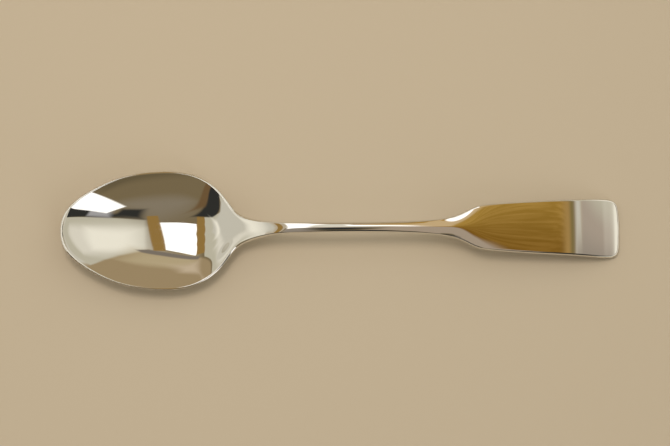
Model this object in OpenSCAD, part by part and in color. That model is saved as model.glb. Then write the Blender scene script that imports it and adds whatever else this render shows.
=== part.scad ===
// Teaspoon with a broad, squared handle end, forged in one piece.
// The spoon lies along X with its bowl at -X, +Y is one side and +Z is up.
// It rests on the plane Z = 0, and the origin is under the middle of its box.
//
// One smooth skin runs through all the regions. It is steered by control rows,
// one for each named place along the spoon, and a cubic B-spline blends them.
// The regions meet face to face at flat sections square to X.

/* [Bowl] */
// Length from the tip of the bowl to the heel
bowl_l = 44; // [36:1:56]
// Width across the hollow at its widest
bowl_w = 28.2; // [22:0.2:36]
// Depth of the hollow below the rim at its deepest
bowl_deep = 5.4; // [4:0.1:8]
// Height of the rim above the table where the bowl is widest
rim_h = 6.7; // [5:0.1:11]
// Width of the rim from the hollow to the outside
rim_w = 0.45; // [0.3:0.05:1]
// Step down from the inner to the outer edge of the rim
rim_step = 0.35; // [0.2:0.05:0.8]
// Thickness of the metal at the bottom of the bowl
floor_t = 1.4; // [0.9:0.1:2.4]

/* [Neck] */
// Length of the neck, from the heel to the stem
neck_l = 13; // [9:0.5:20]
// Width of the flat upper face of the neck
neck_w = 2.9; // [2:0.1:5]
// Thickness of the neck
neck_t = 2.8; // [2:0.1:4]
// Spread of the foot of the neck beyond its upper face, on each side
neck_foot = 0.3; // [0.1:0.05:0.8]

/* [Stem] */
// Length of the narrow stem
stem_l = 34; // [24:1:50]
// Width of the crown of the stem, between its rounded sides
stem_w = 1.7; // [1.2:0.1:4]
// Thickness of the stem
stem_t = 2.4; // [1.6:0.1:3.6]
// Height of the stem's crown above its sides
stem_crown = 0.4; // [0.1:0.05:0.7]
// Height of the stem above the table at its highest
crest_h = 11; // [9:0.1:16]

/* [Shoulder] */
// Length of the shoulder, where the stem flares into the blade
shoulder_l = 14; // [10:0.5:22]
// Width of the flat face where the shoulder ends
shoulder_w = 10.3; // [7:0.1:14]
// Height of the upper face at the end of the shoulder
shoulder_h = 8.6; // [6:0.1:12]

/* [Blade] */
// Length of the flat blade of the handle
blade_l = 22; // [16:1:34]
// Width of the flat face of the blade at the bend
blade_w = 13; // [9:0.1:18]
// Thickness of the blade
blade_t = 1.8; // [1.2:0.1:2.6]
// Height of the upper face at the bend
bend_h = 5.8; // [4:0.1:8]

/* [Handle tip] */
// Length of the tip, from the bend to the end of the spoon
tip_l = 11; // [8:0.5:16]
// Width of the flat face of the tip
tip_w = 13.8; // [9:0.1:19]
// Thickness of the metal at the end
tip_t = 1.5; // [1:0.1:2.2]

/* [Rounding] */
// Reach of the rounding over the rim of the bowl
rim_round = 0.35; // [0.2:0.05:0.8]
// Reach of the rounding from the upper face over the sides of the handle
side_round = 0.6; // [0.3:0.05:1]
// Reach of the rounding from the underside up the sides of the handle
under_round = 0.8; // [0.4:0.05:1.2]

/* [Hidden] */

// Where each region starts along the spoon
neck_x = bowl_l;
stem_x = neck_x + neck_l;
shoulder_x = stem_x + stem_l;
blade_x = shoulder_x + shoulder_l;
tip_x = blade_x + blade_l;

// Height of the sides of the handle, between the upper face and the underside
neck_side = 0.65 * neck_t;
stem_side = 0.63 * stem_t;
blade_side = 0.83 * blade_t;
tip_side = 0.83 * tip_t;

// Columns of a control row:
// place along, half width of the upper face, height of its edge,
// hollow below the edge (a crown is negative), fullness of the walls (slack is negative),
// lean of the sides towards the outline's own normal, spread of the foot,
// height of the side, reach of the upper rounding, reach of the lower one,
// thickness in the middle.
// A table gives shares of the sizes in the row under it.
bowl_shares = [
    [0.003, 0.000, 1.25, 0.00, 0.06, 1.0, 1, 1.0, 1.0, 1.0, 0.60],
    [0.028, 0.355, 1.23, 0.21, 0.06, 1.0, 1, 1.0, 1.0, 1.0, 0.70],
    [0.160, 0.675, 1.13, 0.68, 0.06, 1.0, 1, 1.0, 1.0, 1.0, 0.85],
    [0.332, 0.930, 1.05, 0.95, 0.06, 1.0, 1, 1.0, 1.0, 1.0, 0.95],
    [0.511, 1.007, 1.00, 1.01, 0.06, 1.0, 1, 1.0, 1.0, 1.0, 1.00],
    [0.714, 1.007, 0.96, 0.95, 0.06, 1.0, 1, 1.0, 1.0, 1.0, 1.00],
    [0.870, 0.725, 0.95, 0.70, -0.50, 1.0, 1, 1.1, 1.0, 1.0, 1.07],
    [0.952, 0.310, 0.955, 0.23, -0.78, 0.5, 1, 2.0, 1.0, 1.2, 1.30]
];
bowl_sizes = [bowl_l, bowl_w / 2, rim_h, bowl_deep, 1, 1,
    rim_w, rim_step, rim_round, rim_round, floor_t];

neck_shares = [
    [0.080, 1.72, 0.655, 0.10, -0.75, 0, 1.20, 0.72, 0.5, 0.75, 0.82],
    [0.390, 1.06, 0.80, 0.05, 0.0, 0, 1.00, 0.98, 0.4, 1.10, 1.00],
    [0.730, 0.71, 0.94, -0.02, 0.0, 0, 0.33, 0.98, 0.5, 1.00, 0.96]
];
neck_sizes = [neck_l, neck_w / 2, crest_h, neck_t, 1, 1,
    neck_foot, neck_side, side_round, under_round, neck_t];

stem_shares = [
    [0.045, 1.02, 0.985, -0.85, 0, 0, 0, 1.05, 1, 1, 1.04],
    [0.330, 0.94, 1.010, -1.00, 0, 0, 0, 1.00, 1, 1, 1.00],
    [0.680, 1.00, 0.975, -1.00, 0, 0, 0, 0.98, 1, 1, 0.97],
    [0.970, 1.40, 0.890, -1.00, 0, 0, 0, 0.94, 1, 1, 0.93]
];
stem_sizes = [stem_l, stem_w / 2, crest_h, stem_crown, 1, 1,
    neck_foot, stem_side, side_round, under_round, stem_t];

shoulder_shares = [
    [0.430, 0.37, 1.07, -0.75, 0, 0, 0, 0.95, 1.00, 1, 1.12],
    [0.735, 0.91, 1.02, -0.30, 0, 0, 0, 1.00, 0.85, 1, 1.08],
    [0.965, 1.00, 0.98, -0.12, 0, 0, 0, 1.00, 1.00, 1, 1.05]
];
shoulder_sizes = [shoulder_l, shoulder_w / 2, shoulder_h, stem_crown, 1, 1,
    neck_foot, blade_side, side_round, under_round, blade_t];

blade_shares = [
    [0.36, 0.89, 1.30, -0.02, 0, 0, 0, 1, 1, 1, 1],
    [0.77, 0.96, 1.13, -0.02, 0, 0, 0, 1, 1, 1, 1],
    [1.00, 1.00, 1.00, -0.03, 0, 0, 0, 1, 1, 1, 1]
];
blade_sizes = [blade_l, blade_w / 2, bend_h, blade_t, 1, 1,
    neck_foot, blade_side, side_round, under_round, blade_t];

tip_shares = [
    [0.36, 0.975, 0.75, -0.04, 0, 0.0, 0, 1.10, 1, 1.00, 1.13],
    [0.69, 1.000, 0.45, -0.04, 0, 0.6, 0, 1.05, 1, 1.00, 1.05],
    [0.91, 0.955, 0.255, -0.03, 0, 1.0, 0, 0.96, 1, 0.90, 0.96],
    [0.950, 0.62, 0.215, -0.02, 0, 1.0, 0, 0.92, 1, 0.88, 0.92],
    [0.962, 0.000, 0.205, 0.00, 0, 1.0, 0, 0.92, 1, 0.88, 0.92]
];
tip_sizes = [tip_l, tip_w / 2, bend_h, tip_t, 1, 1,
    neck_foot, tip_side, side_round, under_round, tip_t];

// Turns a table of shares into control rows that start at a place along X
function sized(shares, sizes, start) = [
    for (row = shares) [
        for (c = [0:len(sizes) - 1]) row[c] * sizes[c] + (c == 0 ? start : 0)
    ]
];

rows = concat(
    sized(bowl_shares, bowl_sizes, 0),
    sized(neck_shares, neck_sizes, neck_x),
    sized(stem_shares, stem_sizes, stem_x),
    sized(shoulder_shares, shoulder_sizes, shoulder_x),
    sized(blade_shares, blade_sizes, blade_x),
    sized(tip_shares, tip_sizes, tip_x)
);
last_row = len(rows) - 1;

// Control rows at which the regions meet
bowl_end = len(bowl_shares) + 1;
neck_end = bowl_end + 2;
stem_end = neck_end + 3;
shoulder_end = stem_end + 3;
blade_end = shoulder_end + 3;

// A row beyond either end is the mirror image of the row inside it,
// so that the outline closes smoothly across the axis
function mirrored(row) = [for (c = [0:len(row) - 1]) c == 1 ? -row[c] : row[c]];
function row_at(i) =
    i < 0 ? mirrored(rows[1]) :
    i > last_row ? mirrored(rows[last_row - 1]) : rows[i];

// The blended row at t, and how it changes there
function blend(i, f) =
    (pow(1 - f, 3) * row_at(i - 1)
    + (3 * pow(f, 3) - 6 * pow(f, 2) + 4) * row_at(i)
    + (1 + 3 * f + 3 * pow(f, 2) - 3 * pow(f, 3)) * row_at(i + 1)
    + pow(f, 3) * row_at(i + 2)) / 6;
function slope(i, f) =
    (-pow(1 - f, 2) * row_at(i - 1)
    + (3 * pow(f, 2) - 4 * f) * row_at(i)
    + (1 + 2 * f - 3 * pow(f, 2)) * row_at(i + 1)
    + pow(f, 2) * row_at(i + 2)) / 2;

// Steps across half of the upper face, and round one side
face_steps = 8;
side_steps = 5;

function unit(v) = v / norm(v);
function bezier(a, b, c, d, f) =
    pow(1 - f, 3) * a + 3 * pow(1 - f, 2) * f * b
    + 3 * (1 - f) * pow(f, 2) * c + pow(f, 3) * d;

// Dip of a face at the share q of its half width, for a hollow and its fullness
function dip(hollow, full, q) = hollow * (1 - q * q) * (1 + full * q * q);

// Shares across a face, closer together towards its edges
face_shares = [for (k = [-face_steps:face_steps]) sin(90 * k / face_steps)];

// Rise of a face per length outwards, at its edge
function edge_rise(hollow, full, half, least) =
    2 * hollow * (1 + full) / max(half, least);

// The closed ring of points of one section, seen from the tip of the bowl:
// the upper face, one side, the underside and the other side
function ring(t) =
    let (
        i = min(floor(t), last_row - 1),
        f = t - i,
        r = blend(i, f),
        dr = slope(i, f),
        half = max(r[1], 0),
        belly = r[3] + r[10] - r[7],
        out = t == 0 ? [-1, 0] : t == last_row ? [1, 0] : unit([-dr[1] * r[5], dr[0]]),
        least = rim_w + 2 * rim_round,
        top_out = unit([1, edge_rise(r[3], r[4], half, least)]),
        foot_out = unit([1, edge_rise(belly, r[4], half + r[6], least)]),
        a = [0, r[2]],
        d = [r[6], r[2] - r[7]],
        b = a + r[8] * top_out,
        c = d + r[9] * foot_out,
        side = [for (k = [1:side_steps - 1]) bezier(a, b, c, d, k / side_steps)]
    )
    concat(
        [for (q = face_shares) [r[0], half * q, r[2] - dip(r[3], r[4], q)]],
        [for (p = side) [r[0] + out[0] * p[0], half + out[1] * p[0], p[1]]],
        [for (q = -face_shares) [
            r[0] + out[0] * r[6],
            (half + out[1] * r[6]) * q,
            r[2] - r[7] - dip(belly, r[4], q)
        ]],
        [for (k = [side_steps - 2:-1:0]) let (p = side[k])
            [r[0] + out[0] * p[0], -half - out[1] * p[0], p[1]]]
    );

// Points in a ring, and the corner that each shares where the outline closes
face_n = 2 * face_steps + 1;
ring_n = 2 * face_n + 2 * (side_steps - 1);
function closed_corner(j) =
    j < face_n ? 0 :
    j < face_n + side_steps - 1 ? j - face_n + 1 :
    j < 2 * face_n + side_steps - 1 ? side_steps : ring_n - j;

// The first point in a ring that stands for a closed corner
function corner_point(k) = k == 0 ? 0 : face_n - 1 + k;

// A solid between two control rows, with a number of steps from row to row
module region(from, to, steps) {
    count = (to - from) * steps;
    rings = [for (k = [0:count]) ring(from + k / steps)];
    closed_lo = from == 0;
    closed_hi = to == last_row;
    function at(k, j) =
        k * ring_n + ((k == 0 && closed_lo) || (k == count && closed_hi) ?
            corner_point(closed_corner(j)) : j);
    walls = [
        for (k = [0:count - 1], j = [0:ring_n - 1])
            let (n = (j + 1) % ring_n)
                each [[at(k, j), at(k + 1, j), at(k + 1, n)], [at(k, j), at(k + 1, n), at(k, n)]]
    ];
    ends = concat(
        closed_lo ? [] : [[for (j = [0:ring_n - 1]) j]],
        closed_hi ? [] : [[for (j = [ring_n - 1:-1:0]) count * ring_n + j]]
    );
    used = [for (w = walls) if (w[0] != w[1] && w[1] != w[2] && w[2] != w[0]) w];
    polyhedron(points = [for (r = rings) each r], faces = concat(used, ends), convexity = 6);
}

// Middle of the spoon's box along X, from the outermost points of its two ends
end_points = concat(ring(0), ring(last_row));
mid_x = (min([for (p = end_points) p[0]]) + max([for (p = end_points) p[0]])) / 2;

// Moves a region into the part's own frame
module placed() {
    translate([-mid_x, 0, 0]) children();
}

// Everything above the table, over the whole spoon
module above_table() {
    long = tip_x + tip_l;
    wide = bowl_w + shoulder_w;
    high = 2 * crest_h;
    translate([-long, -wide / 2, 0]) cube([2 * long, wide, high]);
}

// Hollow bowl with its rim and heel, flat where it rests
module bowl() {
    color([0.80, 0.79, 0.76]) intersection() {
        placed() region(0, bowl_end, 5);
        above_table();
    }
}

// Flat-faced neck that climbs from the heel
module neck() {
    color([0.72, 0.71, 0.69]) placed() region(bowl_end, neck_end, 4);
}

// Narrow crowned stem
module stem() {
    color([0.76, 0.75, 0.73]) placed() region(neck_end, stem_end, 3);
}

// Shoulder that flares from the stem to the blade
module shoulder() {
    color([0.70, 0.68, 0.64]) placed() region(stem_end, shoulder_end, 6);
}

// Flat blade of the handle
module blade() {
    color([0.66, 0.58, 0.44]) placed() region(shoulder_end, blade_end, 3);
}

// Tip of the handle, bent down to the table and flat where it rests
module handle_tip() {
    color([0.74, 0.73, 0.71]) intersection() {
        placed() region(blade_end, last_row, 5);
        above_table();
    }
}

bowl();
neck();
stem();
shoulder();
blade();
handle_tip();
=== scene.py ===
"""A polished teaspoon with a broad, squared handle end, and the small studio it lies in.

The spoon is one skin that runs from the tip of the bowl to the end of the handle.
Control rows steer it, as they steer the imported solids, and a cubic B-spline blends them.
Each piece is one region of that skin and takes the place of the solid of the same name.
"""

import math

import bpy
import numpy as np
from bpy.props import FloatProperty, FloatVectorProperty, IntProperty, PointerProperty
from bpy.types import Operator, Panel, PropertyGroup
from mathutils import Matrix, Vector


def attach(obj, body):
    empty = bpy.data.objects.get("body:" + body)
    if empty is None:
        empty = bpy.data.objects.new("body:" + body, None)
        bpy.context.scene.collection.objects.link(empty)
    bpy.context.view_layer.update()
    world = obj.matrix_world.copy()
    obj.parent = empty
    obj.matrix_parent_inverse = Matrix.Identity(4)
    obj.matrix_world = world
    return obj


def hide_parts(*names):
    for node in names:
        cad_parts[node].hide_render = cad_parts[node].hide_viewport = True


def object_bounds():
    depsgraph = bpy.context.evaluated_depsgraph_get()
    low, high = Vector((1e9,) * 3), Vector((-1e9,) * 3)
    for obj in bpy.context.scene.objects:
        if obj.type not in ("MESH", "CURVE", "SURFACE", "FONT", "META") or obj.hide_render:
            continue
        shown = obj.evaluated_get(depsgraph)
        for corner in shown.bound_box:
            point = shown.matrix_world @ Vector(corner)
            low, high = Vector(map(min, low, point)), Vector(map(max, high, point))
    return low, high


bl_info = {
    "name": "Teaspoon",
    "version": (1, 0, 0),
    "blender": (4, 5, 0),
    "location": "View3D > Sidebar > Teaspoon",
    "description": "Builds a polished teaspoon on its packed frame, and the studio it lies in",
    "category": "Add Mesh",
}

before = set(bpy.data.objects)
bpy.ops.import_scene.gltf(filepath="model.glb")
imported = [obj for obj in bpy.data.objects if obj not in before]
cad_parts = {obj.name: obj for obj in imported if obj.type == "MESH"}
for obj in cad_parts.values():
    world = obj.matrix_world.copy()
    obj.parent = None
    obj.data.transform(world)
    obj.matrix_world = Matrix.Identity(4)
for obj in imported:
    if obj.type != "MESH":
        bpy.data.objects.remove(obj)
CAD_BOX = [list(corner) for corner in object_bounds()]
BODY = "root"

# Columns of a control row:
# place along, half width of the upper face, height of its edge,
# hollow below the edge (a crown is negative), fullness of the walls (slack is negative),
# lean of the sides towards the outline's own normal, spread of the foot,
# height of the side, reach of the upper rounding, reach of the lower one,
# thickness in the middle.
# A table gives shares of the sizes that control_rows puts with it.
ALONG, HALF, HEIGHT, HOLLOW, FULL, LEAN, SPREAD, SIDE, OVER, UNDER, THICK = range(11)

BOWL_SHARES = (
    (0.003, 0.000, 1.25, 0.00, 0.06, 1.0, 1, 1.0, 1.0, 1.0, 0.60),
    (0.028, 0.355, 1.23, 0.21, 0.06, 1.0, 1, 1.0, 1.0, 1.0, 0.70),
    (0.160, 0.675, 1.13, 0.68, 0.06, 1.0, 1, 1.0, 1.0, 1.0, 0.85),
    (0.332, 0.930, 1.05, 0.95, 0.06, 1.0, 1, 1.0, 1.0, 1.0, 0.95),
    (0.511, 1.007, 1.00, 1.01, 0.06, 1.0, 1, 1.0, 1.0, 1.0, 1.00),
    (0.714, 1.007, 0.96, 0.95, 0.06, 1.0, 1, 1.0, 1.0, 1.0, 1.00),
    (0.870, 0.725, 0.95, 0.70, -0.50, 1.0, 1, 1.1, 1.0, 1.0, 1.07),
    (0.952, 0.310, 0.955, 0.23, -0.78, 0.5, 1, 2.0, 1.0, 1.2, 1.30),
)
NECK_SHARES = (
    (0.080, 1.72, 0.655, 0.10, -0.75, 0, 1.20, 0.72, 0.5, 0.75, 0.82),
    (0.390, 1.06, 0.80, 0.05, 0.0, 0, 1.00, 0.98, 0.4, 1.10, 1.00),
    (0.730, 0.71, 0.94, -0.02, 0.0, 0, 0.33, 0.98, 0.5, 1.00, 0.96),
)
STEM_SHARES = (
    (0.045, 1.02, 0.985, -0.85, 0, 0, 0, 1.05, 1, 1, 1.04),
    (0.330, 0.94, 1.010, -1.00, 0, 0, 0, 1.00, 1, 1, 1.00),
    (0.680, 1.00, 0.975, -1.00, 0, 0, 0, 0.98, 1, 1, 0.97),
    (0.970, 1.40, 0.890, -1.00, 0, 0, 0, 0.94, 1, 1, 0.93),
)
SHOULDER_SHARES = (
    (0.430, 0.37, 1.07, -0.75, 0, 0, 0, 0.95, 1.00, 1, 1.12),
    (0.735, 0.91, 1.02, -0.30, 0, 0, 0, 1.00, 0.85, 1, 1.08),
    (0.965, 1.00, 0.98, -0.12, 0, 0, 0, 1.00, 1.00, 1, 1.05),
)
BLADE_SHARES = (
    (0.36, 0.89, 1.30, -0.02, 0, 0, 0, 1, 1, 1, 1),
    (0.77, 0.96, 1.13, -0.02, 0, 0, 0, 1, 1, 1, 1),
    (1.00, 1.00, 1.00, -0.03, 0, 0, 0, 1, 1, 1, 1),
)
TIP_SHARES = (
    (0.36, 0.975, 0.75, -0.04, 0, 0.0, 0, 1.10, 1, 1.00, 1.13),
    (0.69, 1.000, 0.45, -0.04, 0, 0.6, 0, 1.05, 1, 1.00, 1.05),
    (0.91, 0.955, 0.255, -0.03, 0, 1.0, 0, 0.96, 1, 0.90, 0.96),
    (0.950, 0.62, 0.215, -0.02, 0, 1.0, 0, 0.92, 1, 0.88, 0.92),
    (0.962, 0.000, 0.205, 0.00, 0, 1.0, 0, 0.92, 1, 0.88, 0.92),
)

# Heights of the handle's sides, as shares of the thickness there
NECK_SIDE_SHARE = 0.65
STEM_SIDE_SHARE = 0.63
BLADE_SIDE_SHARE = 0.83

# Regions in order: the control row at which each ends, and its rings from row to row
BOWL_END = len(BOWL_SHARES) + 1
NECK_END = BOWL_END + 2
STEM_END = NECK_END + 3
SHOULDER_END = STEM_END + 3
BLADE_END = SHOULDER_END + 3
LAST_ROW = sum(map(len, (BOWL_SHARES, NECK_SHARES, STEM_SHARES, SHOULDER_SHARES,
                         BLADE_SHARES, TIP_SHARES))) - 1
REGIONS = {
    "bowl": (0, BOWL_END, 20),
    "neck": (BOWL_END, NECK_END, 20),
    "stem": (NECK_END, STEM_END, 12),
    "shoulder": (STEM_END, SHOULDER_END, 24),
    "blade": (SHOULDER_END, BLADE_END, 12),
    "handle_tip": (BLADE_END, LAST_ROW, 24),
}

# Points closer than this are one point of the mesh, in metres
WELD = 1e-9

# Sockets of a node that mixes two colours: the first, the second and the result
MIX_LOWER, MIX_UPPER, MIX_RESULT = 6, 7, 2

# How finely the noise behind lines and patches breaks up, and how strong its fine part is
NOISE_DETAIL = 2.0
NOISE_ROUGHNESS = 0.6

# Lines in the steel: turn, change along and across per metre, noise where a line starts
# and where it is full
BOWL_LINES = (
    (0.35, 70, 5200, 0.64, 0.74),
    (-0.55, 90, 6100, 0.65, 0.75),
    (1.35, 80, 5600, 0.66, 0.76),
)
HANDLE_LINES = (
    (0.0, 22, 2600, 0.50, 0.70),
    (0.02, 40, 5200, 0.60, 0.72),
)
# How often the tint and the wear change per metre
PATCH_SCALE = 110
# Depth of a line in metres, and how strongly it shows in the shading
LINE_DEPTH = 2e-6
BOWL_RELIEF = 0.05
HANDLE_RELIEF = 0.03

# The floor lies this far below the spoon, in metres
FLOOR_GAP = 2e-5
FLOOR_ROUGHNESS = 0.9
FLOOR_SPECULAR = 0.0

# Lens and sensor width in millimetres, and the nearest thing in view in metres
LENS = 89.93
SENSOR = 36
NEAREST = 0.01

# Watts per square metre that give an area light a radiance of 1
POWER_SHARE = math.pi

# Height of a direction, at length 1, up to which the horizon shows and over which it ends
HORIZON_LOW = 0.13
HORIZON_HIGH = 0.17

# Where, towards the back, the dark front of the room starts to fade and where it ends
FRONT_FADES = -0.95
FRONT_ENDS = -0.6

# Where, towards the back, the table's far part starts to show at the horizon and is full
BEYOND_STARTS = 0.84
BEYOND_FULL = 0.89

# Ceilings of light, this high above the table and this wide, painted with plain patches.
# Each is kept for some of the objects, and its bare part has a shade of its own.
# A patch has its colour, its softness and its corners, seen from above and going round
# against the clock. Softness and corners are shares of the height, so that a corner is
# the slant, run over rise, at which the spoon sees it.
# Later patches lie over earlier ones. A patch with two colours is streaked with them.
CEILING = 10.0
CEILING_WIDTH = 160.0
# A soft edge fades over this share of the softness on each side
EDGE_SHARE = 0.5
BOWL_LIT = "bowl_lit"
HANDLE_LIT = "handle_lit"
FLOOR_LIT = "floor_lit"
CREAM = (0.84, 0.80, 0.69)
SHELL = (0.66, 0.63, 0.54)
PALE = (1.02, 0.98, 0.85)
STONE = (0.60, 0.565, 0.45)
WHITE = (1.60, 1.58, 1.55)
KHAKI = (0.40, 0.30, 0.17)
OCHRE = (0.54, 0.44, 0.27)
SAND = (0.64, 0.52, 0.37)
GOLD = (0.34, 0.205, 0.06)
HONEY = (0.515, 0.315, 0.075)
AMBER = (0.395, 0.23, 0.04)
RUST = (0.26, 0.13, 0.02)
UMBER = (0.20, 0.095, 0.01)
OAK = (0.42, 0.26, 0.085)
OLIVE = (0.24, 0.18, 0.07)
TAN = (0.66, 0.48, 0.26)
TAUPE = (0.55, 0.47, 0.35)
BEIGE = (0.44, 0.355, 0.27)
SLATE = (0.32, 0.28, 0.235)
HAZE = (0.43, 0.42, 0.43)
DUSK = (0.235, 0.20, 0.165)
EARTH = (0.218, 0.166, 0.091)
LOAM = (0.155, 0.12, 0.066)
CLAY = (0.275, 0.23, 0.165)
BROWN = (0.18, 0.11, 0.05)
PEWTER = (0.466, 0.391, 0.316)
NIGHT = (0.035, 0.035, 0.032)
HEEL_PATCHES = (
    ("heel", SHELL, 0.15, ((-0.75, 0.15), (-9, 8.1), (-9, -5.2), (-0.9, -0.4))),
    ("heel_near", PALE, 0.35, ((-1.0, -0.5), (-1.05, 0.6), (-1.38, 0.6), (-1.30, -0.5))),
    ("heel_middle", CREAM, 0.45, ((-1.15, 0.5), (-1.9, 1.7), (-2.4, 1.4), (-1.45, 0.4))),
    ("heel_far", CREAM, 0.60, ((-1.7, 1.4), (-9, 8.5), (-9, 6.2), (-2.0, 1.1))),
)
BOWL_PATCHES = (
    ("right", STONE, 0.04, ((0.02, -0.22), (9, -3.5), (9, 17.6), (0.02, 0.80))),
    ("right_wide", CREAM, 0.60, ((0.15, -0.03), (1.6, -0.25), (1.6, 2.1), (0.05, 0.65))),
    ("right_glow", PALE, 0.40, ((0.06, 0.02), (0.85, -0.05), (0.85, 1.05), (0.06, 0.60))),
    ("top", KHAKI, 0.08, ((0.0, 0.60), (0.35, 0.99), (0.78, 1.66), (9, 16.8), (-9, 16.8),
                          (-9, 9.1), (-1.25, 1.66), (-0.68, 1.14))),
    ("top_near", OCHRE, 0.45, ((0.1, 0.65), (0.4, 1.25), (-0.9, 1.6), (-0.6, 0.9))),
    ("top_streak", SAND, 0.40, ((-0.25, 1.3), (-0.5, 1.9), (-1.6, 2.7), (-0.9, 1.5))),
    ("right_band", NIGHT, 0.10, ((0.02, -0.24), (9, -6.6), (9, -3.5))),
    ("right_haze", HAZE, 0.15, ((0.42, -0.75), (0.95, -0.95), (0.95, -0.62), (0.42, -0.38))),
    ("front", EARTH, 0.05, ((-0.05, -0.16), (-9, -10.4), (7, -10.4), (0.9, -1.6))),
    ("front_high", CLAY, 0.50, ((-0.05, -0.16), (-0.7, -0.9), (0.5, -0.9))),
    ("front_far", LOAM, 1.0, ((-6, -9), (6, -9), (1.2, -2.2), (-1.2, -2.2))),
    ("band_dark", NIGHT, 0.10, ((0.04, -0.52), (0.28, -0.60), (0.36, -0.42), (0.06, -0.27))),
    ("window", WHITE, 0.008, ((-0.055, -0.14), (-0.10, 0.585), (-0.62, 1.04),
                              (-0.62, -0.14))),
    ("top_shade", DUSK, 0.05, ((0.0, 0.59), (0.10, 0.62), (0.06, 0.70), (-0.85, 1.36),
                               (-0.85, 1.24))),
    ("post", GOLD, 0.012, ((-0.46, -0.40), (-0.37, -0.11), (-0.35, 0.17), (-0.43, 0.52),
                           (-0.62, 1.0), (-1.3, 1.4), (-1.3, -0.7))),
    ("left", STONE, 0.02, ((-0.65, -0.45), (-0.54, -0.16), (-0.51, 0.21), (-0.65, 0.66),
                           (-0.98, 1.25), (-1.15, 1.5), (-9, 8.9), (-9, -4.7),
                           (-1.0, -0.64))),
    ("left_dark", NIGHT, 0.06, ((-0.36, -0.34), (-1.0, -0.59), (-9, -5.2), (-9, -7.8),
                                (-1.0, -0.95))),
    ("left_brown", BROWN, 0.08, ((-0.30, -0.44), (-1.0, -0.92), (-9, -7.8), (-9, -9.6),
                                 (-1.0, -1.15))),
    ("corner_window", WHITE, 0.05, ((0.25, -0.68), (9, -13.0), (9, -6.6), (0.5, -0.56))),
) + HEEL_PATCHES + (
    ("mullion", GOLD, 0.012, ((-0.045, -0.32), (0.018, -0.32), (-0.03, 0.62),
                              (-0.102, 0.62))),
)
HANDLE_PATCHES = (
    ("back", CREAM, 0.20, ((-9, 0.05), (9, 0.05), (9, 9), (-9, 9))),
    ("cupboard", (UMBER, RUST), 0.01, ((0.0, -0.2), (0.62, -0.2), (0.62, 9), (0.3, 9))),
    ("cupboard_glow", (AMBER, HONEY), 0.16, ((0.02, 0.125), (0.9, 0.125), (0.9, 9),
                                             (0.32, 9))),
    ("cupboard_edge", OAK, 0.09, ((0.455, -0.1), (0.60, -0.1), (0.60, 9), (0.455, 9))),
    ("cupboard_side", OLIVE, 0.09, ((0.54, -0.1), (0.72, -0.1), (0.72, 9), (0.54, 9))),
    ("jamb", BEIGE, 0.03, ((-0.4, -0.4), (0.35, -0.4), (0.337, 0.05), (0.305, 0.08),
                            (-0.4, 0.36))),
    ("low_left", SLATE, 0.20, ((-0.4, -3.0), (-0.1, -3.0), (-0.1, -0.15), (-0.4, -0.15))),
    ("low_right", BEIGE, 0.06, ((0.14, -3.0), (0.36, -3.0), (0.34, 0.02), (0.16, 0.02))),
    ("dark", NIGHT, 0.16, ((-0.11, -2.4), (0.11, -2.4), (0.11, -0.28), (-0.11, -0.28))),
    ("middle", CREAM, 0.12, ((-0.10, -0.02), (0.12, -0.02), (0.12, 1.2), (-0.10, 1.2))),
    ("white", WHITE, 0.06, ((-0.38, -0.12), (-0.13, -0.12), (-0.08, 9), (-0.38, 9))),
    ("tan", TAN, 0.03, ((0.21, 0.14), (0.302, 0.14), (0.305, 0.25), (0.40, 9), (0.20, 9))),
    ("white_right", WHITE, 0.03, ((0.04, 0.64), (0.19, 0.24), (0.27, 0.19), (0.24, 0.50),
                                  (0.15, 2.5), (0.04, 2.5))),
    ("front_low", NIGHT, 1.0, ((-1.5, -3.5), (-3.7, -9), (3.7, -9), (1.5, -3.5))),
    ("neck_tan", TAUPE, 0.04, ((-0.98, -0.6), (-0.48, -0.6), (-0.36, 0.9), (-0.98, 0.9))),
    ("post", GOLD, 0.03, ((-0.66, -0.6), (-0.50, -0.6), (-0.50, 0.9), (-0.66, 0.9))),
    ("tip", PEWTER, 0.17, ((0.66, -0.2), (2.1, -0.2), (2.1, 9), (0.66, 9))),
    ("tip_edge", TAUPE, 0.22, ((0.74, -0.2), (0.90, -0.2), (0.90, 9), (0.74, 9))),
    ("tip_high", STONE, 0.12, ((0.76, 0.25), (2.1, 0.26), (2.1, 9), (0.76, 9))),
    ("tip_low", SLATE, 0.14, ((0.72, -0.3), (2.1, -0.3), (2.1, 0.15), (0.72, 0.10))),
    ("tip_corner", SHELL, 0.13, ((0.69, 0.10), (0.86, 0.13), (0.86, 9), (0.69, 9))),
    ("end", PALE, 0.22, ((1.81, -3.0), (9, -3.0), (9, 3.0), (1.81, 3.0))),
    ("blade_low", NIGHT, 0.06, ((0.38, -9), (2.2, -9), (2.2, -0.22), (0.38, -0.16))),
    ("neck_low", NIGHT, 0.10, ((-0.4, -9), (-0.4, -0.5), (-1.0, -0.6), (-9, -5.4),
                               (-9, -9))),
) + HEEL_PATCHES
# Grain of a patch that has two colours: turn, change along and across per share of the
# height, noise where the second colour starts and where it is full
GRAIN = (0.0, 12, 170, 0.38, 0.64)
# A ceiling's name, its bare shade, its patches and the objects that it is kept for
CEILINGS = (
    ("bowl_ceiling", EARTH, BOWL_PATCHES, BOWL_LIT),
    ("handle_ceiling", EARTH, HANDLE_PATCHES, HANDLE_LIT),
)

# The light on the floor alone: how high it is, its slants along X and Y, and its radiance
KEY_HEIGHT = 0.45
KEY_SLANTS = ((-0.2, 0.0), (0.07, 0.31))
KEY_RADIANCE = (20.5, 18.0, 15.5)


def size(name, description, default):
    """A length that a user would change, in metres."""
    return FloatProperty(name=name, description=description, default=default,
                         min=0.0, precision=5, unit="LENGTH")


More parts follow.
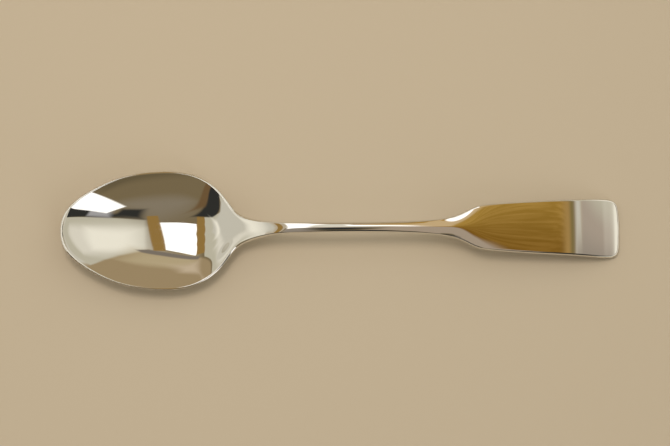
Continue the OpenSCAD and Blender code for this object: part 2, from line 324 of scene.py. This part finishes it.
def share(name, description, default):
    """A number from 0 to 1."""
    return FloatProperty(name=name, description=description, default=default,
                         min=0.0, max=1.0, precision=3, subtype="FACTOR")


def colour(name, description, default):
    """A linear colour."""
    return FloatVectorProperty(name=name, description=description, default=default,
                               size=3, min=0.0, max=1.0, subtype="COLOR")


class TeaspoonShape(PropertyGroup):
    """Sizes of the spoon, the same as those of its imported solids."""

    bowl_length: size("Bowl length", "From the tip of the bowl to the heel", 0.044)
    bowl_width: size("Bowl width", "Across the hollow at its widest", 0.0282)
    bowl_depth: size("Bowl depth", "Hollow below the rim at its deepest", 0.0054)
    rim_height: size("Rim height", "Height of the rim where the bowl is widest", 0.0067)
    rim_width: size("Rim width", "From the hollow to the outside", 0.00045)
    rim_step: size("Rim step", "Step down from the inner to the outer edge of the rim", 0.00035)
    floor_thickness: size("Floor thickness", "Metal at the bottom of the bowl", 0.0014)
    neck_length: size("Neck length", "From the heel to the stem", 0.013)
    neck_width: size("Neck width", "Flat upper face of the neck", 0.0029)
    neck_thickness: size("Neck thickness", "Thickness of the neck", 0.0028)
    neck_foot: size("Neck foot", "Spread of the foot beyond the upper face", 0.0003)
    stem_length: size("Stem length", "Length of the narrow stem", 0.034)
    stem_width: size("Stem width", "Crown of the stem between its rounded sides", 0.0017)
    stem_thickness: size("Stem thickness", "Thickness of the stem", 0.0024)
    stem_crown: size("Stem crown", "Height of the crown above its sides", 0.0004)
    crest_height: size("Crest height", "Height of the stem at its highest", 0.011)
    shoulder_length: size("Shoulder length", "From the stem to the blade", 0.014)
    shoulder_width: size("Shoulder width", "Flat face where the shoulder ends", 0.0103)
    shoulder_height: size("Shoulder height", "Upper face where the shoulder ends", 0.0086)
    blade_length: size("Blade length", "Length of the flat blade", 0.022)
    blade_width: size("Blade width", "Flat face of the blade at the bend", 0.013)
    blade_thickness: size("Blade thickness", "Thickness of the blade", 0.0018)
    bend_height: size("Bend height", "Upper face at the bend", 0.0058)
    tip_length: size("Tip length", "From the bend to the end of the spoon", 0.011)
    tip_width: size("Tip width", "Flat face of the tip", 0.0138)
    tip_thickness: size("Tip thickness", "Metal at the end", 0.0015)
    rim_round: size("Rim rounding", "Reach of the rounding over the rim", 0.00035)
    side_round: size("Side rounding", "Reach of the rounding over the handle's sides", 0.0006)
    under_round: size("Underside rounding", "Reach of the rounding up the handle's sides", 0.0008)
    face_steps: IntProperty(name="Face steps", description="Steps across half of a face",
                            default=40, min=4)
    side_steps: IntProperty(name="Side steps", description="Steps round one side",
                            default=12, min=3)


class TeaspoonFinish(PropertyGroup):
    """Colours and polish of the steel."""

    steel: colour("Steel", "Colour of the polished steel", (0.80, 0.785, 0.75))
    steel_warm: colour("Warm steel", "Colour of its warmer patches", (0.79, 0.765, 0.715))
    bowl_polish: share("Bowl polish", "Roughness of the bowl where it is best polished", 0.03)
    bowl_wear: share("Bowl wear", "Roughness of the bowl along its hairlines", 0.10)
    handle_polish: share("Handle polish", "Roughness of the handle at its best", 0.015)
    handle_wear: share("Handle wear", "Roughness of the handle along its streaks", 0.06)


class TeaspoonStudio(PropertyGroup):
    """The floor, the light and the camera."""

    floor: colour("Floor", "Colour of the plain floor", (0.585, 0.513, 0.405))
    back: colour("Back", "Pale walls at the sides of the table", (0.67, 0.635, 0.54))
    beyond: colour("Beyond", "Far part of the table, at the horizon", (0.40, 0.30, 0.17))
    front: colour("Front", "Dark side of the room in front of the table", (0.06, 0.05, 0.04))
    overhead: colour("Overhead", "Room between the patches of light", (0.0, 0.0, 0.0))
    camera_distance: size("Camera distance", "From the camera to the point it aims at", 0.4178)
    camera_tilt: FloatProperty(name="Camera tilt", description="Lean of the view from vertical",
                               default=math.radians(6.5), subtype="ANGLE")
    camera_roll: FloatProperty(name="Camera roll", description="Turn of the picture",
                               default=math.radians(0.5), subtype="ANGLE")
    aim_x: FloatProperty(name="Aim X", description="Where the camera aims, along the spoon",
                         default=-0.00178, precision=5, unit="LENGTH")
    aim_y: FloatProperty(name="Aim Y", description="Where the camera aims, across the spoon",
                         default=0.00223, precision=5, unit="LENGTH")
    floor_size: size("Floor size", "Side of the square floor", 6.0)


# Shape of the skin


def control_rows(shape):
    """The control rows of the whole spoon, one line each."""
    handle_round = (shape.side_round, shape.under_round)
    neck_x = shape.bowl_length
    stem_x = neck_x + shape.neck_length
    shoulder_x = stem_x + shape.stem_length
    blade_x = shoulder_x + shape.shoulder_length
    tip_x = blade_x + shape.blade_length
    sets = (
        (BOWL_SHARES, 0.0, (
            shape.bowl_length, shape.bowl_width / 2, shape.rim_height, shape.bowl_depth, 1, 1,
            shape.rim_width, shape.rim_step, shape.rim_round, shape.rim_round,
            shape.floor_thickness)),
        (NECK_SHARES, neck_x, (
            shape.neck_length, shape.neck_width / 2, shape.crest_height, shape.neck_thickness,
            1, 1, shape.neck_foot, NECK_SIDE_SHARE * shape.neck_thickness, *handle_round,
            shape.neck_thickness)),
        (STEM_SHARES, stem_x, (
            shape.stem_length, shape.stem_width / 2, shape.crest_height, shape.stem_crown,
            1, 1, shape.neck_foot, STEM_SIDE_SHARE * shape.stem_thickness, *handle_round,
            shape.stem_thickness)),
        (SHOULDER_SHARES, shoulder_x, (
            shape.shoulder_length, shape.shoulder_width / 2, shape.shoulder_height,
            shape.stem_crown, 1, 1, shape.neck_foot, BLADE_SIDE_SHARE * shape.blade_thickness,
            *handle_round, shape.blade_thickness)),
        (BLADE_SHARES, blade_x, (
            shape.blade_length, shape.blade_width / 2, shape.bend_height,
            shape.blade_thickness, 1, 1, shape.neck_foot,
            BLADE_SIDE_SHARE * shape.blade_thickness, *handle_round, shape.blade_thickness)),
        (TIP_SHARES, tip_x, (
            shape.tip_length, shape.tip_width / 2, shape.bend_height, shape.tip_thickness,
            1, 1, shape.neck_foot, BLADE_SIDE_SHARE * shape.tip_thickness, *handle_round,
            shape.tip_thickness)),
    )
    rows = []
    for shares, start, sizes in sets:
        for row in np.array(shares) * np.array(sizes, float):
            row[ALONG] += start
            rows.append(row)
    return np.array(rows)


def mirrored(row):
    """The same row across the spoon's axis, which closes the outline at an end."""
    other = row.copy()
    other[HALF] *= -1
    return other


def blended(rows, t):
    """The blended row at t, and how it changes there."""
    i = min(int(t), LAST_ROW - 1)
    f = t - i
    before = rows[i - 1] if i > 0 else mirrored(rows[1])
    after = rows[i + 2] if i + 2 <= LAST_ROW else mirrored(rows[LAST_ROW - 1])
    near = np.array((before, rows[i], rows[i + 1], after))
    # Weights of a uniform cubic B-spline, and how they change with f
    place = np.array(((1 - f) ** 3, 3 * f ** 3 - 6 * f ** 2 + 4,
                      1 + 3 * f + 3 * f ** 2 - 3 * f ** 3, f ** 3)) / 6
    slope = np.array((-(1 - f) ** 2, 3 * f ** 2 - 4 * f, 1 + 2 * f - 3 * f ** 2, f ** 2)) / 2
    return place @ near, slope @ near


def unit(v):
    """v at length 1."""
    v = np.array(v, float)
    return v / np.linalg.norm(v)


def dip(hollow, full, q):
    """Dip of a face at the shares q of its half width."""
    return hollow * (1 - q * q) * (1 + full * q * q)


def edge_rise(hollow, full, half, least):
    """Rise of a face per length outwards, at its edge."""
    return 2 * hollow * (1 + full) / max(half, least)


def side_curve(row, least, steps):
    """Points from the upper to the lower edge of one side, as reach outwards and height."""
    half = max(row[HALF], 0)
    belly = row[HOLLOW] + row[THICK] - row[SIDE]
    top_out = unit((1, edge_rise(row[HOLLOW], row[FULL], half, least)))
    foot_out = unit((1, edge_rise(belly, row[FULL], half + row[SPREAD], least)))
    a = np.array((0, row[HEIGHT]))
    d = np.array((row[SPREAD], row[HEIGHT] - row[SIDE]))
    b = a + row[OVER] * top_out
    c = d + row[UNDER] * foot_out
    f = np.linspace(0, 1, steps + 1)[1:-1, None]
    return (1 - f) ** 3 * a + 3 * (1 - f) ** 2 * f * b + 3 * (1 - f) * f ** 2 * c + f ** 3 * d


def ring(shape, rows, t):
    """One closed section: the upper face, one side, the underside and the other side."""
    row, slope = blended(rows, t)
    half = max(row[HALF], 0)
    belly = row[HOLLOW] + row[THICK] - row[SIDE]
    if t == 0:
        out = np.array((-1.0, 0.0))
    elif t == LAST_ROW:
        out = np.array((1.0, 0.0))
    else:
        out = unit((-slope[HALF] * row[LEAN], slope[ALONG]))
    least = shape.rim_width + 2 * shape.rim_round
    side = side_curve(row, least, shape.side_steps)
    q = np.sin(np.linspace(-math.pi / 2, math.pi / 2, 2 * shape.face_steps + 1))
    x = row[ALONG]
    foot = row[SPREAD] * out
    upper = np.column_stack((np.full_like(q, x), half * q,
                             row[HEIGHT] - dip(row[HOLLOW], row[FULL], q)))
    near = np.column_stack((x + out[0] * side[:, 0], half + out[1] * side[:, 0], side[:, 1]))
    under = np.column_stack((np.full_like(q, x + foot[0]), -(half + foot[1]) * q,
                             row[HEIGHT] - row[SIDE] - dip(belly, row[FULL], q)))
    far = near[::-1] * (1, -1, 1)
    return np.vstack((upper, near, under, far))


def closed_ring(shape, points):
    """A ring at an end of the spoon, where the outline closes and both sides are one."""
    face = 2 * shape.face_steps + 1
    side = points[face:face + shape.side_steps - 1]
    foot = points[face + shape.side_steps - 1]
    return np.vstack((
        np.repeat(points[:1], face, axis=0), side,
        np.repeat(foot[None], face, axis=0), side[::-1]))


def ring_places():
    """Where the rings lie along the control rows, over the whole spoon."""
    places = [0.0]
    for first, last, steps in REGIONS.values():
        places += [first + k / steps for k in range(1, (last - first) * steps + 1)]
    return places


def skin_rings(shape, first, last):
    """Rings first to last of the spoon, in the frame's own place and inside its box."""
    rows = control_rows(shape)
    places = ring_places()
    ends = [ring(shape, rows, places[k])[:, 0] for k in (0, -1)]
    middle = (min(ends[0]) + max(ends[1])) / 2
    rings = [ring(shape, rows, t) for t in places[first:last + 1]]
    if first == 0:
        rings[0] = closed_ring(shape, rings[0])
    if last == len(places) - 1:
        rings[-1] = closed_ring(shape, rings[-1])
    skin = np.array(rings) - (middle, 0, 0)
    return np.clip(skin, CAD_BOX[0], CAD_BOX[1])


def ring_span(name):
    """Numbers of the first and the last ring of a region."""
    start = 0
    for region, (first, last, steps) in REGIONS.items():
        end = start + (last - first) * steps
        if region == name:
            return start, end
        start = end
    raise ValueError(f"no region is named {name}")


def grid_mesh(name, skin, cap_start, cap_end):
    """A mesh through the rings of skin, its repeats welded, and the count of its walls."""
    numbers = {}
    corners = []
    for point in skin.reshape(-1, 3):
        key = tuple(np.round(point / WELD).astype(int))
        corners.append(numbers.setdefault(key, len(numbers)))
    points = [tuple(c * WELD for c in key) for key in numbers]
    rings, count = skin.shape[:2]
    faces = []
    for k in range(rings - 1):
        for j in range(count):
            n = (j + 1) % count
            face = [corners[r * count + c] for r, c in ((k, j), (k + 1, j), (k + 1, n), (k, n))]
            face = [c for i, c in enumerate(face) if c != face[i - 1]]
            if len(set(face)) == len(face) > 2:
                faces.append(face)
    walls = len(faces)
    if cap_start:
        faces.append([corners[j] for j in range(count)])
    if cap_end:
        faces.append([corners[(rings - 1) * count + j] for j in reversed(range(count))])
    mesh = bpy.data.meshes.new(name)
    mesh.from_pydata(points, [], faces)
    if mesh.validate(verbose=True):
        raise RuntimeError(f"{name} has faces that a mesh can't hold")
    return mesh, walls


def rounded(point):
    """A point's place as a key that the same point in another mesh shares."""
    return tuple(round(c / WELD) for c in point)


def take_normals(mesh, walls, donor):
    """Gives the walls of a piece the normals of the skin that runs on past its ends."""
    donor.polygons.foreach_set("use_smooth", [True] * len(donor.polygons))
    known = {rounded(v.co): Vector(n.vector)
             for v, n in zip(donor.vertices, donor.vertex_normals)}
    normals = [Vector()] * len(mesh.loops)
    for face in mesh.polygons:
        face.use_smooth = face.index < walls
        for loop in face.loop_indices:
            at = rounded(mesh.vertices[mesh.loops[loop].vertex_index].co)
            normals[loop] = known[at] if face.index < walls else face.normal.copy()
    mesh.normals_split_custom_set(normals)


def add_region(context, name, finish):
    """One region of the skin as a closed piece that stands for the solid of its name."""
    shape = context.scene.teaspoon_shape
    first, last = ring_span(name)
    end = len(ring_places()) - 1
    before, after = int(first > 0), int(last < end)
    skin = skin_rings(shape, first - before, last + after)
    donor, _ = grid_mesh(name + "_donor", skin, False, False)
    own = skin[before:len(skin) - after]
    mesh, walls = grid_mesh("spoon_" + name, own, first > 0, last < end)
    take_normals(mesh, walls, donor)
    bpy.data.meshes.remove(donor)
    mesh.materials.append(finish(context))
    piece = bpy.data.objects.new("spoon_" + name, mesh)
    context.scene.collection.objects.link(piece)
    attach(piece, BODY)
    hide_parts(name)
    return piece


# Finish of the steel


def add_node(tree, kind, settings=None, **values):
    """A node with its settings and the values or links of its sockets."""
    node = tree.nodes.new(kind)
    for key, value in (settings or {}).items():
        setattr(node, key, value)
    for key, value in values.items():
        socket = node.inputs[key.replace("_", " ")]
        if isinstance(value, bpy.types.NodeSocket):
            tree.links.new(value, socket)
        else:
            socket.default_value = value
    return node


def stepped(tree, value, start, full):
    """0 up to start and 1 from full, with a smooth step between them."""
    step = add_node(tree, "ShaderNodeMapRange", {"interpolation_type": "SMOOTHSTEP"},
                    Value=value, From_Min=start, From_Max=full)
    return step.outputs["Result"]


def combined(tree, operation, sockets):
    """Several values taken together, one after the other, by one operation."""
    total = sockets[0]
    for other in sockets[1:]:
        node = add_node(tree, "ShaderNodeMath", {"operation": operation})
        tree.links.new(total, node.inputs[0])
        tree.links.new(other, node.inputs[1])
        total = node.outputs[0]
    return total


def mixed(tree, factor, lower, upper):
    """Two colours, each a socket or a plain colour, mixed by a factor."""
    node = add_node(tree, "ShaderNodeMix", {"data_type": "RGBA"})
    tree.links.new(factor, node.inputs["Factor"])
    for number, value in ((MIX_LOWER, lower), (MIX_UPPER, upper)):
        if isinstance(value, bpy.types.NodeSocket):
            tree.links.new(value, node.inputs[number])
        else:
            node.inputs[number].default_value = (*value, 1)
    return node.outputs[MIX_RESULT]


def grain(tree, coords, turn, along, across, low, high):
    """Fine lines in one direction: 1 on a line and 0 beside it."""
    place = add_node(tree, "ShaderNodeMapping", Vector=coords, Rotation=(0, 0, turn),
                     Scale=(along, across, across))
    noise = add_node(tree, "ShaderNodeTexNoise", Vector=place.outputs["Vector"], Scale=1.0,
                     Detail=NOISE_DETAIL, Roughness=NOISE_ROUGHNESS)
    return stepped(tree, noise.outputs[0], low, high)


def steel(name, finish, lines, polish, wear, relief):
    """Polished steel whose fine lines are duller and slightly sunk."""
    material = bpy.data.materials.get(name)
    if material:
        return material
    material = bpy.data.materials.new(name)
    material.use_nodes = True
    tree = material.node_tree
    tree.nodes.clear()
    coords = add_node(tree, "ShaderNodeTexCoord").outputs["Object"]
    worn = combined(tree, "MAXIMUM", [grain(tree, coords, *line) for line in lines])
    patches = add_node(tree, "ShaderNodeTexNoise", Vector=coords, Scale=PATCH_SCALE,
                       Detail=NOISE_DETAIL).outputs[0]
    dull = combined(tree, "MULTIPLY", [worn, patches])
    roughness = add_node(tree, "ShaderNodeMapRange", Value=dull, To_Min=polish, To_Max=wear)
    tint = mixed(tree, patches, finish.steel, finish.steel_warm)
    bump = add_node(tree, "ShaderNodeBump", {"invert": True}, Height=worn, Strength=relief,
                    Distance=LINE_DEPTH)
    shader = add_node(tree, "ShaderNodeBsdfPrincipled", Base_Color=tint, Metallic=1.0,
                      Roughness=roughness.outputs["Result"], Normal=bump.outputs["Normal"])
    add_node(tree, "ShaderNodeOutputMaterial", Surface=shader.outputs[0])
    return material


def bowl_steel(context):
    """Steel of the bowl, with the crossing hairlines that stirring leaves."""
    finish = context.scene.teaspoon_finish
    return steel("polished_bowl", finish, BOWL_LINES, finish.bowl_polish, finish.bowl_wear,
                 BOWL_RELIEF)


def handle_steel(context):
    """Steel of the handle, with faint streaks along it from polishing."""
    finish = context.scene.teaspoon_finish
    return steel("polished_handle", finish, HANDLE_LINES, finish.handle_polish,
                 finish.handle_wear, HANDLE_RELIEF)


# Studio


def lit_collection(context, name):
    """The collection of the objects that some of the lights are kept for."""
    found = bpy.data.collections.get(name)
    if not found:
        found = bpy.data.collections.new(name)
        context.scene.collection.children.link(found)
    return found


def halfplane(tree, place, start, end, softness):
    """How far a place lies to the left of the line from start to end, in softnesses."""
    along = Vector(end) - Vector(start)
    inward = Vector((-along.y, along.x)).normalized() / softness
    node = add_node(tree, "ShaderNodeVectorMath", {"operation": "DOT_PRODUCT"})
    tree.links.new(place, node.inputs[0])
    node.inputs[1].default_value = (*inward, -inward.dot(Vector(start)))
    return node.outputs["Value"]


def painted(tree, place, ground, patches):
    """The colour of a ceiling at a place, given as slants and 1."""
    shade = ground
    for _, paint, softness, corners in patches:
        following = corners[1:] + corners[:1]
        depth = combined(tree, "MINIMUM", [halfplane(tree, place, a, b, softness)
                                           for a, b in zip(corners, following)])
        cover = stepped(tree, depth, -EDGE_SHARE, EDGE_SHARE)
        if isinstance(paint[0], tuple):
            paint = mixed(tree, grain(tree, place, *GRAIN), *paint)
        shade = mixed(tree, cover, shade, paint)
    return shade


def above_horizon(tree, rise):
    """0 where a direction that rises by this much shows the horizon, and 1 above it."""
    return stepped(tree, rise, HORIZON_LOW, HORIZON_HIGH)


def paint_ceiling(tree, ground, patches):
    """Makes a light's nodes shine in the colours of its patches, down to the horizon."""
    tree.nodes.clear()
    spot = add_node(tree, "ShaderNodeNewGeometry").outputs["Position"]
    place = add_node(tree, "ShaderNodeVectorMath", {"operation": "SCALE"}, Scale=1 / CEILING)
    tree.links.new(spot, place.inputs[0])
    shade = painted(tree, place.outputs["Vector"], ground, patches)
    slant = add_node(tree, "ShaderNodeVectorMath", {"operation": "LENGTH"})
    tree.links.new(place.outputs["Vector"], slant.inputs[0])
    rise = add_node(tree, "ShaderNodeMath", {"operation": "DIVIDE"})
    rise.inputs[0].default_value = 1.0
    tree.links.new(slant.outputs["Value"], rise.inputs[1])
    emission = add_node(tree, "ShaderNodeEmission", Color=shade,
                        Strength=above_horizon(tree, rise.outputs[0]))
    add_node(tree, "ShaderNodeOutputLight", Surface=emission.outputs[0])


def add_light(context, name, spans, height, strength, lit):
    """A flat light that faces down, spans two stretches and is kept for some objects."""
    (x0, x1), (y0, y1) = spans
    data = bpy.data.lights.new(name, "AREA")
    data.shape = "RECTANGLE"
    data.size = x1 - x0
    data.size_y = y1 - y0
    data.energy = strength * data.size * data.size_y * POWER_SHARE
    light = bpy.data.objects.new(name, data)
    light.location = ((x0 + x1) / 2, (y0 + y1) / 2, height)
    context.scene.collection.objects.link(light)
    light.light_linking.receiver_collection = lit_collection(context, lit)
    return light


def add_ceiling(context, name, ground, patches, lit):
    """A wide light overhead that shines down in the colours of its patches."""
    span = (-CEILING_WIDTH / 2, CEILING_WIDTH / 2)
    light = add_light(context, name, (span, span), CEILING, 1.0, lit)
    light.visible_camera = False
    light.data.use_nodes = True
    paint_ceiling(light.data.node_tree, ground, patches)


def add_key(context):
    """The light that throws the soft shadow towards the front."""
    spans = [[slant * KEY_HEIGHT for slant in pair] for pair in KEY_SLANTS]
    strength = max(KEY_RADIANCE)
    light = add_light(context, "key", spans, KEY_HEIGHT, strength, FLOOR_LIT)
    light.data.color = [c / strength for c in KEY_RADIANCE]


def add_room(context):
    """The plain room: pale along the horizon and dim overhead."""
    studio = context.scene.teaspoon_studio
    world = bpy.data.worlds.new("plain_room")
    world.use_nodes = True
    tree = world.node_tree
    tree.nodes.clear()
    direction = add_node(tree, "ShaderNodeTexCoord").outputs["Generated"]
    parts = add_node(tree, "ShaderNodeSeparateXYZ", Vector=direction)
    far = stepped(tree, parts.outputs["Y"], FRONT_FADES, FRONT_ENDS)
    beyond = stepped(tree, parts.outputs["Y"], BEYOND_STARTS, BEYOND_FULL)
    sides = mixed(tree, far, studio.front, studio.back)
    wall = mixed(tree, beyond, sides, studio.beyond)
    shade = mixed(tree, above_horizon(tree, parts.outputs["Z"]), wall, studio.overhead)
    background = add_node(tree, "ShaderNodeBackground", Color=shade)
    add_node(tree, "ShaderNodeOutputWorld", Surface=background.outputs[0])
    context.scene.world = world


def add_floor(context):
    """A plain pale floor, just under the spoon."""
    studio = context.scene.teaspoon_studio
    half = studio.floor_size / 2
    corners = [(x * half, y * half, -FLOOR_GAP) for x, y in ((-1, -1), (1, -1), (1, 1), (-1, 1))]
    mesh = bpy.data.meshes.new("floor")
    mesh.from_pydata(corners, [], [range(len(corners))])
    material = bpy.data.materials.new("plain_floor")
    material.use_nodes = True
    shader = material.node_tree.nodes["Principled BSDF"]
    shader.inputs["Base Color"].default_value = (*studio.floor, 1)
    shader.inputs["Roughness"].default_value = FLOOR_ROUGHNESS
    shader.inputs["Specular IOR Level"].default_value = FLOOR_SPECULAR
    mesh.materials.append(material)
    floor = bpy.data.objects.new("floor", mesh)
    context.scene.collection.objects.link(floor)
    for lit in (BOWL_LIT, FLOOR_LIT):
        lit_collection(context, lit).objects.link(floor)


def add_camera(context):
    """The camera at the photograph's viewing angle."""
    studio = context.scene.teaspoon_studio
    data = bpy.data.cameras.new("camera")
    data.lens = LENS
    data.sensor_width = SENSOR
    data.clip_start = NEAREST
    camera = bpy.data.objects.new("camera", data)
    turn = Matrix.Rotation(-studio.camera_roll, 4, "Z") @ Matrix.Rotation(
        studio.camera_tilt, 4, "X")
    aim = Vector((studio.aim_x, studio.aim_y, 0))
    camera.matrix_world = (Matrix.Translation(aim) @ turn
                           @ Matrix.Translation((0, 0, studio.camera_distance)))
    context.scene.collection.objects.link(camera)
    context.scene.camera = camera


class AddPiece:
    """What the operators of the spoon's pieces share."""

    bl_options = {"REGISTER", "UNDO"}
    region = ""
    finish = staticmethod(handle_steel)
    slot = "handle_steel"
    lit = HANDLE_LIT

    def execute(self, context):
        piece = add_region(context, self.region, self.finish)
        lit_collection(context, self.lit).objects.link(piece)
        return {"FINISHED"}


class TEASPOON_OT_bowl(AddPiece, Operator):
    """Adds the bowl with its rim and heel"""

    bl_idname = "teaspoon.bowl"
    bl_label = "Bowl"
    region = "bowl"
    finish = staticmethod(bowl_steel)
    slot = "bowl_steel"
    lit = BOWL_LIT


class TEASPOON_OT_neck(AddPiece, Operator):
    """Adds the neck that climbs from the heel"""

    bl_idname = "teaspoon.neck"
    bl_label = "Neck"
    region = "neck"


class TEASPOON_OT_stem(AddPiece, Operator):
    """Adds the narrow crowned stem"""

    bl_idname = "teaspoon.stem"
    bl_label = "Stem"
    region = "stem"


class TEASPOON_OT_shoulder(AddPiece, Operator):
    """Adds the shoulder that flares from the stem to the blade"""

    bl_idname = "teaspoon.shoulder"
    bl_label = "Shoulder"
    region = "shoulder"


class TEASPOON_OT_blade(AddPiece, Operator):
    """Adds the flat blade of the handle"""

    bl_idname = "teaspoon.blade"
    bl_label = "Blade"
    region = "blade"


class TEASPOON_OT_handle_tip(AddPiece, Operator):
    """Adds the end of the handle, bent down to the table"""

    bl_idname = "teaspoon.handle_tip"
    bl_label = "Handle tip"
    region = "handle_tip"


class TEASPOON_OT_stage(Operator):
    """Adds the floor, the room, the lights and the camera"""

    bl_idname = "teaspoon.stage"
    bl_label = "Studio"
    bl_options = {"REGISTER", "UNDO"}

    def execute(self, context):
        add_floor(context)
        add_room(context)
        for ceiling in CEILINGS:
            add_ceiling(context, *ceiling)
        add_key(context)
        add_camera(context)
        context.scene.view_settings.view_transform = "Standard"
        return {"FINISHED"}


class TEASPOON_PT_panel(Panel):
    """Lists the pieces of the spoon and their sizes in the sidebar"""

    bl_label = "Teaspoon"
    bl_space_type = "VIEW_3D"
    bl_region_type = "UI"
    bl_category = "Teaspoon"

    def draw(self, context):
        layout = self.layout
        for group in (context.scene.teaspoon_shape, context.scene.teaspoon_finish,
                      context.scene.teaspoon_studio):
            box = layout.box()
            for name in group.__annotations__:
                box.prop(group, name)
        for operator in OPERATORS:
            layout.operator(operator.bl_idname)


OPERATORS = (TEASPOON_OT_bowl, TEASPOON_OT_neck, TEASPOON_OT_stem, TEASPOON_OT_shoulder,
             TEASPOON_OT_blade, TEASPOON_OT_handle_tip, TEASPOON_OT_stage)
GROUPS = {"teaspoon_shape": TeaspoonShape, "teaspoon_finish": TeaspoonFinish,
          "teaspoon_studio": TeaspoonStudio}


def register():
    """Makes the classes and the scene's settings known to Blender."""
    for cls in (*GROUPS.values(), *OPERATORS, TEASPOON_PT_panel):
        bpy.utils.register_class(cls)
    for name, group in GROUPS.items():
        setattr(bpy.types.Scene, name, PointerProperty(type=group))


def unregister():
    """Takes them away again."""
    for name in GROUPS:
        delattr(bpy.types.Scene, name)
    for cls in reversed((*GROUPS.values(), *OPERATORS, TEASPOON_PT_panel)):
        bpy.utils.unregister_class(cls)


def main():
    """Builds the spoon and its studio."""
    register()
    bpy.ops.teaspoon.bowl()
    bpy.ops.teaspoon.neck()
    bpy.ops.teaspoon.stem()
    bpy.ops.teaspoon.shoulder()
    bpy.ops.teaspoon.blade()
    bpy.ops.teaspoon.handle_tip()
    bpy.ops.teaspoon.stage()


if __name__ == "__main__":
    main()
